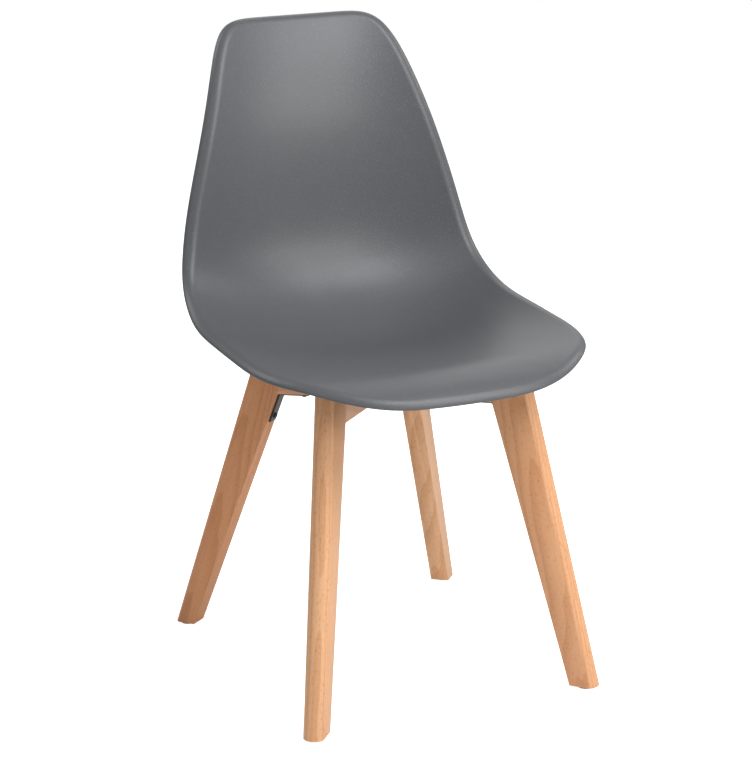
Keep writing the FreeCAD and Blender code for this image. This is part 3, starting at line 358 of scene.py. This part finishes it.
# Bosses and crossed ribs under the seat, one set over each shell bolt. A boss stands on its spacer,
# its ribs start RIB_SETBACK higher, and both end IN_WALL deep in the shell's wall. BOSS_STUB is the
# boss's height before it grows, and has to be more than RIB_SETBACK.

BOSS_RADIUS = 11.0
BOSS_STUB = 6.0
RIB_REACH = 26.0
RIB_THICKNESS = 2.5
RIB_SETBACK = 5.0
RIB_STEPS = 14
IN_WALL = 2.5
BOSS_SIDES = 48
LOOK_UP = 100.0


def boss_tree():
    """Geometry Nodes: a boss with its ribs at every point, each grown up into the shell's wall."""
    group = bpy.data.node_groups.new("bosses_and_ribs", "GeometryNodeTree")
    tree = Tree(group)
    wanted = [
        ("Places", "NodeSocketGeometry", None),
        ("Shell", "NodeSocketObject", None),
        ("Boss Radius", "NodeSocketFloat", BOSS_RADIUS * MM),
        ("Boss Stub", "NodeSocketFloat", BOSS_STUB * MM),
        ("Rib Reach", "NodeSocketFloat", RIB_REACH * MM),
        ("Rib Thickness", "NodeSocketFloat", RIB_THICKNESS * MM),
        ("Rib Setback", "NodeSocketFloat", RIB_SETBACK * MM),
        ("In Wall", "NodeSocketFloat", IN_WALL * MM),
        ("Material", "NodeSocketMaterial", None),
    ]
    for name, kind, value in wanted:
        socket = group.interface.new_socket(name=name, in_out="INPUT", socket_type=kind)
        if value is not None:
            socket.default_value = value
    group.interface.new_socket(name="Geometry", in_out="OUTPUT", socket_type="NodeSocketGeometry")
    given = tree.add("NodeGroupInput").outputs
    stub = 1 * MM

    def number(name):
        return Value(tree, given[name])

    def vector(x=0.0, y=0.0, z=0.0):
        return tree.add("ShaderNodeCombineXYZ", {"X": x, "Y": y, "Z": z}).outputs[0]

    def raised(mesh, height, spin=0.0):
        placed = tree.add("GeometryNodeTransform", {"Geometry": mesh, "Translation": vector(z=height)})
        placed.inputs["Rotation"].default_value = (0, 0, spin)
        return placed.outputs["Geometry"]

    # A short stub of each; its top is then pulled up to the shell
    post = tree.add("GeometryNodeMeshCylinder", {
        "Vertices": BOSS_SIDES, "Radius": given["Boss Radius"], "Depth": given["Boss Stub"],
    }).outputs["Mesh"]
    parts = [raised(post, number("Boss Stub") * 0.5)]
    for spin in (math.pi / 4, 3 * math.pi / 4):
        rib = tree.add("GeometryNodeMeshCube", {
            "Size": vector(number("Rib Reach") * 2, given["Rib Thickness"], stub),
            "Vertices X": RIB_STEPS + 1, "Vertices Y": 2, "Vertices Z": 2,
        }).outputs["Mesh"]
        parts.append(raised(rib, number("Rib Setback") + stub / 2, spin))
    joined = tree.add("GeometryNodeJoinGeometry")
    for part in parts:
        tree.tree.links.new(part, joined.inputs[0])

    # Which vertices are tops: those above the middle of their stub
    place = tree.add("GeometryNodeInputPosition").outputs[0]
    height = Value(tree, tree.add("ShaderNodeSeparateXYZ", {0: place}).outputs["Z"])
    on_rib_top = height > number("Rib Setback") + stub / 2
    marked = tree.add(
        "GeometryNodeStoreNamedAttribute",
        {"Geometry": joined.outputs[0], "Name": "top", "Value": on_rib_top.socket},
        data_type="FLOAT", domain="POINT",
    )
    lean = tree.add("GeometryNodeInputNamedAttribute", {"Name": "lean"}, data_type="FLOAT_VECTOR")
    turned = tree.add("FunctionNodeEulerToRotation", {0: lean.outputs[0]}).outputs[0]
    stood = tree.add("GeometryNodeInstanceOnPoints", {
        "Points": given["Places"], "Instance": marked.outputs[0], "Rotation": turned,
    })
    real = tree.add("GeometryNodeRealizeInstances", {"Geometry": stood.outputs[0]})

    up = tree.add("FunctionNodeRotateVector", {"Vector": vector(z=1.0), "Rotation": turned}).outputs[0]
    shell = tree.add("GeometryNodeObjectInfo", {"Object": given["Shell"]}, transform_space="ORIGINAL")
    hit = tree.add("GeometryNodeRaycast", {
        "Target Geometry": shell.outputs["Geometry"], "Source Position": place,
        "Ray Direction": up, "Ray Length": LOOK_UP * MM,
    })
    further = tree.add("ShaderNodeVectorMath", {0: up, "Scale": given["In Wall"]}, operation="SCALE")
    into_wall = tree.add(
        "ShaderNodeVectorMath", {0: hit.outputs["Hit Position"], 1: further.outputs[0]}, operation="ADD"
    )
    top = tree.add("GeometryNodeInputNamedAttribute", {"Name": "top"}, data_type="FLOAT")
    chosen = Value(tree, top.outputs[0]) > 0.5
    grown = tree.add("GeometryNodeSetPosition", {
        "Geometry": real.outputs[0], "Selection": chosen.socket, "Position": into_wall.outputs[0],
    })
    finished = tree.add("GeometryNodeSetMaterial", {
        "Geometry": grown.outputs[0], "Material": given["Material"],
    })
    tree.add("NodeGroupOutput", {"Geometry": finished.outputs[0]})
    return group


def grown_bosses(shell, material):
    """The bosses and ribs as a plain mesh."""
    places = bpy.data.meshes.new("boss_places")
    points, leans = [], []
    for leg in LEGS.values():
        along = bar_heading(leg)
        tilt = math.radians(BAR_TILT) * leg["end"]
        up = Vector((0, 0, 1)) * math.cos(tilt) + along * math.sin(tilt)
        face = bar_point(leg, BOLT_REACH[leg["end"]]) + up * (BAR_DEPTH + SPACER_THICKNESS)
        points.append(face * MM)
        leans.append(axes(along, up).to_euler())
    places.from_pydata(points, [], [])
    lean = places.attributes.new("lean", "FLOAT_VECTOR", "POINT")
    for item, angles in zip(lean.data, leans):
        item.vector = tuple(angles)
    holder = add_object("boss_places", places)
    group = boss_tree()
    modifier = holder.modifiers.new("bosses", "NODES")
    modifier.node_group = group
    sockets = {item.name: item.identifier for item in group.interface.items_tree if item.in_out == "INPUT"}
    modifier[sockets["Shell"]] = shell
    modifier[sockets["Material"]] = material
    bpy.context.view_layer.update()
    evaluated = holder.evaluated_get(bpy.context.evaluated_depsgraph_get())
    mesh = bpy.data.meshes.new_from_object(evaluated)
    bpy.data.objects.remove(holder)
    return mesh


# Finishes

class Finish(Tree):
    """A material with one Principled shader; constant looks are set on the shader itself."""

    def __init__(self, name, **constants):
        self.material = bpy.data.materials.new(name)
        self.material.use_nodes = True
        super().__init__(self.material.node_tree)
        self.shader = self.tree.nodes["Principled BSDF"]
        for socket, value in constants.items():
            self.shader.inputs[socket.replace("_", " ")].default_value = value

    def place(self, origin=(0, 0, 0), turn=(0, 0, 0)):
        """Coordinates in millimetres from a place on the object, turned with it."""
        coordinates = self.add("ShaderNodeTexCoord").outputs["Object"]
        return self.add(
            "ShaderNodeMapping",
            {"Vector": coordinates, "Location": origin, "Rotation": turn, "Scale": (MM, MM, MM)},
            vector_type="TEXTURE",
        ).outputs[0]

    def stretched(self, vector, sizes):
        """The same coordinates counted in grains of the given sizes."""
        counts = tuple(1 / size for size in sizes)
        return self.add("ShaderNodeVectorMath", {0: vector, 1: counts}, operation="MULTIPLY").outputs[0]

    def noise(self, vector, sizes, detail=2.0, roughness=0.5):
        """Noise from 0 to 1 whose blobs have about the given sizes in millimetres."""
        node = self.add("ShaderNodeTexNoise", {
            "Vector": self.stretched(vector, sizes), "Scale": 1.0, "Detail": detail,
            "Roughness": roughness,
        })
        return Value(self, node.outputs[0])

    def mixed(self, share, first, second):
        """The first colour at share 0, the second at share 1."""
        node = self.add("ShaderNodeMix", {0: share, 6: first, 7: second}, data_type="RGBA")
        return node.outputs[2]

    def tinted(self, colour, share, tint):
        """The colour multiplied by a tint, by a share from 0 to 1."""
        node = self.add(
            "ShaderNodeMix", {0: share, 6: colour, 7: tint}, data_type="RGBA", blend_type="MULTIPLY"
        )
        return node.outputs[2]

    def set_colour(self, colour):
        self.feed(self.shader.inputs["Base Color"], colour)

    def set_roughness(self, value):
        self.feed(self.shader.inputs["Roughness"], value)

    def set_bump(self, height, depth, strength=1.0):
        bump = self.add("ShaderNodeBump", {"Height": height, "Distance": depth * MM, "Strength": strength})
        self.feed(self.shader.inputs["Normal"], bump.outputs[0])


def rgb(red, green, blue):
    return (red, green, blue, 1.0)


def moulded_plastic():
    """Mid grey polypropylene with the fine grain of its mould; lighter specks in its colour are painted
    sparkle.
    """
    finish = Finish("moulded_plastic", Specular_IOR_Level=0.45)
    grid = finish.place()
    cloud = finish.noise(grid, (90, 90, 90), detail=3)
    colour = finish.mixed(cloud, rgb(0.096, 0.101, 0.109), rgb(0.106, 0.111, 0.118))
    grain = finish.noise(grid, (2.1, 2.1, 2.1), detail=3, roughness=0.7)
    # Lighter specks on the grain's peaks are painted sparkle: glints of the grain put into the colour
    painted_sparkle = grain.between(0.56, 0.70)
    finish.set_colour(finish.tinted(colour, painted_sparkle * 0.7, rgb(1.5, 1.5, 1.5)))
    finish.set_roughness(0.33 + grain * 0.10)
    ripple = finish.noise(grid, (45, 45, 45), detail=1)
    finish.set_bump(grain * 0.45 + ripple * 0.25, 1.0, 0.6)
    return finish.material


# Width of a year's growth, its shift for each millimetre up the board, and how far apart the
# boards' places in the noise lie
RING_PITCH = 4.2
RING_SLOPE = 0.035
BOARDS_APART = (371.0, 113.0, 947.0)
PALE_BEECH = (0.85, 0.515, 0.290)
RED_BEECH = (0.73, 0.318, 0.138)


def beech(name, origin, turn, board, seed):
    """Steamed beech in satin lacquer: rings round a pith beside the board, rays and pores along it."""
    pith, warmth = board["pith"], board["warmth"]
    finish = Finish(name, Specular_IOR_Level=0.45, Coat_Weight=0.12, Coat_Roughness=0.35)
    shifted = tuple(c * MM for c in origin)
    grid = finish.place(shifted, tuple(turn))
    apart = tuple(seed * step for step in BOARDS_APART)
    tree_part = finish.add("ShaderNodeVectorMath", {0: grid, 1: apart}, operation="ADD").outputs[0]
    split = finish.add("ShaderNodeSeparateXYZ", {0: grid}).outputs
    x, y, z = (Value(finish, split[axis]) for axis in "XYZ")
    wander = finish.noise(tree_part, (70, 70, 420), detail=2) - 0.5
    ripple = finish.noise(tree_part, (14, 14, 90), detail=2) - 0.5
    east = x - pith[0] + wander * 26
    north = y - pith[1] + wander * 14
    radius = (east * east + north * north) ** 0.5
    ring = (radius + z * RING_SLOPE + ripple * 2.2) / RING_PITCH
    year = ring.fraction()
    late = year.between(0.30, 0.95) * (1 - year.between(0.95, 1.0))

    tone = finish.noise(tree_part, (30, 30, 200), detail=3)
    colour = finish.mixed(tone * 0.5 + (warmth - 0.25), rgb(*PALE_BEECH), rgb(*RED_BEECH))
    colour = finish.tinted(colour, late * 0.55, rgb(0.80, 0.68, 0.56))
    streak = finish.noise(tree_part, (1.8, 1.8, 90), detail=3, roughness=0.6).between(0.35, 0.75)
    colour = finish.tinted(colour, streak * 0.35, rgb(0.86, 0.78, 0.68))
    ray = finish.noise(tree_part, (1.0, 1.0, 5.5), detail=1).between(0.60, 0.72)
    colour = finish.tinted(colour, ray * 0.6, rgb(0.62, 0.45, 0.34))
    pore = finish.noise(tree_part, (0.4, 0.4, 3.5), detail=2).between(0.55, 0.72)
    colour = finish.tinted(colour, pore * 0.3, rgb(0.72, 0.60, 0.48))
    finish.set_colour(colour)
    finish.set_roughness(0.42 + pore * 0.12 - ray * 0.08)
    finish.set_bump(1 - pore * 0.5 - ray * 0.3 - late * 0.2, 0.05)
    return finish.material


def black_paint():
    finish = Finish("black_powder_coat", Specular_IOR_Level=0.7)
    grid = finish.place()
    peel = finish.noise(grid, (1.2, 1.2, 1.2), detail=2)
    finish.set_colour(finish.mixed(peel, rgb(0.020, 0.020, 0.021), rgb(0.034, 0.034, 0.035)))
    finish.set_roughness(0.30 + peel * 0.12)
    finish.set_bump(peel, 0.05)
    return finish.material


def zinc_plate():
    finish = Finish("zinc_plated_steel", Metallic=1.0)
    grid = finish.place()
    cloud = finish.noise(grid, (6, 6, 6), detail=3)
    scuff = finish.noise(grid, (0.5, 0.5, 0.5), detail=2)
    colour = finish.mixed(cloud, rgb(0.52, 0.52, 0.51), rgb(0.64, 0.64, 0.62))
    finish.set_colour(colour)
    finish.set_roughness(0.24 + cloud * 0.16 + scuff * 0.06)
    finish.set_bump(scuff, 0.02)
    return finish.material


def turned_brass():
    finish = Finish("turned_brass", Metallic=1.0)
    grid = finish.place()
    cloud = finish.noise(grid, (4, 4, 4), detail=3)
    finish.set_colour(finish.mixed(cloud, rgb(0.66, 0.48, 0.20), rgb(0.76, 0.58, 0.28)))
    finish.set_roughness(0.26 + cloud * 0.16)
    return finish.material


def spacer_rubber():
    finish = Finish("spacer_rubber", Specular_IOR_Level=0.4)
    grid = finish.place()
    dust = finish.noise(grid, (3, 3, 3), detail=3)
    finish.set_colour(finish.mixed(dust, rgb(0.016, 0.016, 0.016), rgb(0.030, 0.030, 0.029)))
    finish.set_roughness(0.62 + dust * 0.2)
    finish.set_bump(dust, 0.05)
    return finish.material


def glide_nylon():
    finish = Finish("glide_nylon", Specular_IOR_Level=0.5)
    grid = finish.place()
    cloud = finish.noise(grid, (5, 5, 5), detail=3)
    finish.set_colour(finish.mixed(cloud, rgb(0.40, 0.40, 0.39), rgb(0.47, 0.46, 0.45)))
    finish.set_roughness(0.42 + cloud * 0.16)
    finish.set_bump(finish.noise(grid, (0.6, 0.6, 0.6)), 0.03)
    return finish.material


# Wooden pieces: the solids with their edges broken by sanding

EASED_EDGE = 0.9
EASED_FROM = 40.0
FLAT_WITHIN = 0.5
SAME_POINT = 0.001


def eased(node, material):
    """Dresses a wooden solid: its flat faces made whole again and its edges rounded a little."""
    cage = bmesh.new()
    cage.from_mesh(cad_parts[node].data)
    bmesh.ops.remove_doubles(cage, verts=cage.verts, dist=SAME_POINT * MM)
    bmesh.ops.dissolve_limit(
        cage, angle_limit=math.radians(FLAT_WITHIN), verts=cage.verts, edges=cage.edges, delimit={"NORMAL"}
    )
    for face in cage.faces:
        face.smooth = True
    mesh = bpy.data.meshes.new(f"{node}_wood")
    cage.to_mesh(mesh)
    cage.free()
    mesh.materials.append(material)
    piece = add_object(f"{node}_wood", mesh)
    bevel = piece.modifiers.new("sanded_edges", "BEVEL")
    bevel.width = EASED_EDGE * MM
    bevel.segments = 2
    bevel.limit_method = "ANGLE"
    bevel.angle_limit = math.radians(EASED_FROM)
    bevel.harden_normals = True
    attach(piece, "root")
    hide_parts(node)
    return piece


def leg_grain(leg):
    """Origin at the corner under the bar, and the turn whose Z axis runs up the leg."""
    lean = math.radians(LEG_LEAN[leg["end"]])
    outwards = bar_heading(leg)
    up_leg = Vector((0, 0, math.cos(lean))) - outwards * math.sin(lean)
    origin = bar_point(leg, CORNER_REACH[leg["end"]] + LEG_MIDDLE)
    return origin, axes(outwards, up_leg).to_euler()


def bar_grain(side):
    """The same for a crossbar: Z runs along it."""
    leg = {"side": side, "end": -1}
    along = bar_point(leg, BOLT_REACH[leg["end"]]) - bar_point(leg, 0.0)
    return bar_point(leg, 0.0), axes(Vector((0, 0, 1)), along).to_euler()


# Where the pith of each board's tree lay, off the board's middle (the farther, the straighter the
# grain), and how red the board is, from 0 to 1
LEG_BOARDS = {
    "front_left": {"pith": (62, 8), "warmth": 0.3},
    "front_right": {"pith": (14, 74), "warmth": 0.5},
    "rear_left": {"pith": (10, 58), "warmth": 0.8},
    "rear_right": {"pith": (70, -12), "warmth": 0.15},
}
BAR_BOARD = {"pith": (20, 60), "warmth": 0.5}
DOWEL_BOARD = {"pith": (30, 30), "warmth": 0.2}

for seed, (name, leg) in enumerate(LEGS.items(), start=1):
    origin, turn = leg_grain(leg)
    eased(f"leg_{name}", beech(f"beech_{name}", origin, turn, LEG_BOARDS[name], seed))
for seed, (node, side) in enumerate((("crossbar_lower", -1), ("crossbar_upper", 1)), start=5):
    origin, turn = bar_grain(side)
    eased(node, beech(f"beech_{node}", origin, turn, BAR_BOARD, seed))

# Shell, with the bosses under it as one moulding

plastic = moulded_plastic()
rings, poles = shell_rings(ShellRule())
shell_mesh = ring_mesh("moulded_shell", rings, poles)
shell_mesh.materials.append(plastic)
shell = add_object("moulded_shell", shell_mesh)
boss_mesh = grown_bosses(shell, plastic)
face_outwards(boss_mesh)
moulding = bmesh.new()
moulding.from_mesh(shell_mesh)
moulding.from_mesh(boss_mesh)
moulding.to_mesh(shell_mesh)
moulding.free()
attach(shell, "root")
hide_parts("seat_shell")

# Fasteners, brackets and glides keep their solids and take a finish

dowel_wood = beech("dowel_beech", (0, 0, 0), Euler((0, 0, 0)), DOWEL_BOARD, 9)
FINISHES = {
    "dowels": dowel_wood,
    "bracket": black_paint(),
    "glide": glide_nylon(),
    "seat_spacers": spacer_rubber(),
    "seat_inserts": turned_brass(),
    "zinc": zinc_plate(),
}
BLACK_SCREWS = ("bracket_leg_screws", "bracket_bar_screws")
ZINC_PIECES = (
    "seat_bolts", "seat_washers", "seat_spring_washers", "crossing_bolt", "crossing_nut",
    "crossing_washers", "glide_nails",
)


def dress(node, material):
    """Gives a solid from the frame its material."""
    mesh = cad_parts[node].data
    mesh.materials.clear()
    mesh.materials.append(material)


for node in ZINC_PIECES:
    dress(node, FINISHES["zinc"])
for node in BLACK_SCREWS:
    dress(node, FINISHES["bracket"])
for node in ("seat_spacers", "seat_inserts"):
    dress(node, FINISHES[node])
for name in LEGS:
    for kind in ("dowels", "bracket", "glide"):
        dress(f"{kind}_{name}", FINISHES[kind])

# Studio: a pale floor, a white surround and soft lamps all round; its lengths are in metres

FLOOR_SIDE = 12.0
SEAT_MIDDLE = Vector((0, 0, 0.45))
CAMERA_PLACE = (-1.1495, -2.7490, 1.1715)
CAMERA_AZIMUTH = -22.643
CAMERA_ELEVATION = 14.893
CAMERA_ROLL = -1.677
LENS = 114.35
SENSOR_WIDTH = 36.0
LENS_SHIFT = (-0.0042, 0.0022)


def camera_looks(tree):
    """1 where the camera itself looks at the surround."""
    return tree.add("ShaderNodeLightPath").outputs["Is Camera Ray"]


def white_world(level, colour):
    """Even light from all round, where the camera itself sees plain white."""
    world = bpy.data.worlds.new("studio")
    bpy.context.scene.world = world
    world.use_nodes = True
    world.node_tree.nodes.clear()
    tree = Tree(world.node_tree)
    light = tree.add("ShaderNodeBackground", {"Color": rgb(*colour), "Strength": level})
    white = tree.add("ShaderNodeBackground", {"Color": rgb(1, 1, 1), "Strength": 1.0})
    mix = tree.add("ShaderNodeMixShader", {0: camera_looks(tree), 1: light.outputs[0], 2: white.outputs[0]})
    tree.add("ShaderNodeOutputWorld", {"Surface": mix.outputs[0]})


def pale_floor(lift):
    """A white floor; its lift takes what the camera sees to white and leaves the shadow under the chair."""
    half = FLOOR_SIDE / 2
    corners = [(-half, -half, 0), (half, -half, 0), (half, half, 0), (-half, half, 0)]
    mesh = bpy.data.meshes.new("studio_floor")
    mesh.from_pydata(corners, [], [(0, 1, 2, 3)])
    floor = add_object("studio_floor", mesh)
    material = bpy.data.materials.new("studio_floor")
    material.use_nodes = True
    material.node_tree.nodes.clear()
    tree = Tree(material.node_tree)
    paint = tree.add("ShaderNodeBsdfDiffuse", {"Color": rgb(0.80, 0.80, 0.80)})
    glow = tree.add("ShaderNodeEmission", {"Color": rgb(1, 1, 1), "Strength": lift})
    lifted = tree.add("ShaderNodeAddShader", {0: paint.outputs[0], 1: glow.outputs[0]})
    mix = tree.add("ShaderNodeMixShader", {
        0: camera_looks(tree), 1: paint.outputs[0], 2: lifted.outputs[0],
    })
    tree.add("ShaderNodeOutputMaterial", {"Surface": mix.outputs[0]})
    mesh.materials.append(material)


def soft_lamp(name, azimuth, elevation, distance, size, power, colour):
    """A soft box aimed at the seat; azimuth 0 is straight in front, positive to the right."""
    turn, rise = math.radians(azimuth), math.radians(elevation)
    away = Vector((
        math.sin(turn) * math.cos(rise), -math.cos(turn) * math.cos(rise), math.sin(rise),
    ))
    light = bpy.data.lights.new(name, "AREA")
    light.shape = "RECTANGLE"
    light.size, light.size_y = size
    light.energy = power
    light.color = colour
    lamp = bpy.data.objects.new(name, light)
    lamp.location = SEAT_MIDDLE + away * distance
    lamp.rotation_euler = away.to_track_quat("Z", "Y").to_euler()
    bpy.context.scene.collection.objects.link(lamp)


def photo_camera():
    """The view of the photograph: place, direction and lens fitted to the chair's edges in it."""
    azimuth, elevation, roll = (
        math.radians(angle) for angle in (CAMERA_AZIMUTH, CAMERA_ELEVATION, CAMERA_ROLL)
    )
    back = Vector((
        math.sin(azimuth) * math.cos(elevation),
        -math.cos(azimuth) * math.cos(elevation),
        math.sin(elevation),
    ))
    right = Vector((math.cos(azimuth), math.sin(azimuth), 0))
    up = back.cross(right)
    rolled_right = right * math.cos(roll) + up * math.sin(roll)
    rolled_up = up * math.cos(roll) - right * math.sin(roll)
    lens = bpy.data.cameras.new("photo_camera")
    lens.lens = LENS
    lens.sensor_width = SENSOR_WIDTH
    lens.shift_x, lens.shift_y = LENS_SHIFT
    camera = bpy.data.objects.new("photo_camera", lens)
    turn = Matrix((rolled_right, rolled_up, back)).transposed().to_4x4()
    camera.matrix_world = Matrix.Translation(CAMERA_PLACE) @ turn
    bpy.context.scene.collection.objects.link(camera)
    bpy.context.scene.camera = camera


white_world(0.27, (1.0, 0.98, 0.95))
pale_floor(0.90)
soft_lamp("key_box", 21, 48, 2.6, (0.8, 1.6), 44, (0.98, 0.99, 1.0))
soft_lamp("low_box", 25, 16, 2.6, (0.8, 0.65), 21, (1.0, 0.98, 0.96))
soft_lamp("top_box", 8, 80, 2.3, (1.2, 0.9), 5, (1.0, 1.0, 1.0))
soft_lamp("left_box", -60, 30, 2.8, (1.4, 1.4), 6, (0.92, 0.96, 1.0))
soft_lamp("right_box", 95, 28, 2.8, (1.2, 1.2), 13, (1.0, 0.97, 0.94))
soft_lamp("rear_left_box", -135, 40, 2.8, (1.2, 1.2), 16, (1.0, 0.99, 0.98))
soft_lamp("rear_right_box", 150, 40, 2.8, (1.2, 1.2), 5.5, (1.0, 0.99, 0.98))
soft_lamp("rear_card", 157, 14, 3.0, (2.6, 1.4), 6.5, (1.0, 0.99, 0.98))
photo_camera()
bpy.context.scene.view_settings.view_transform = "Standard"
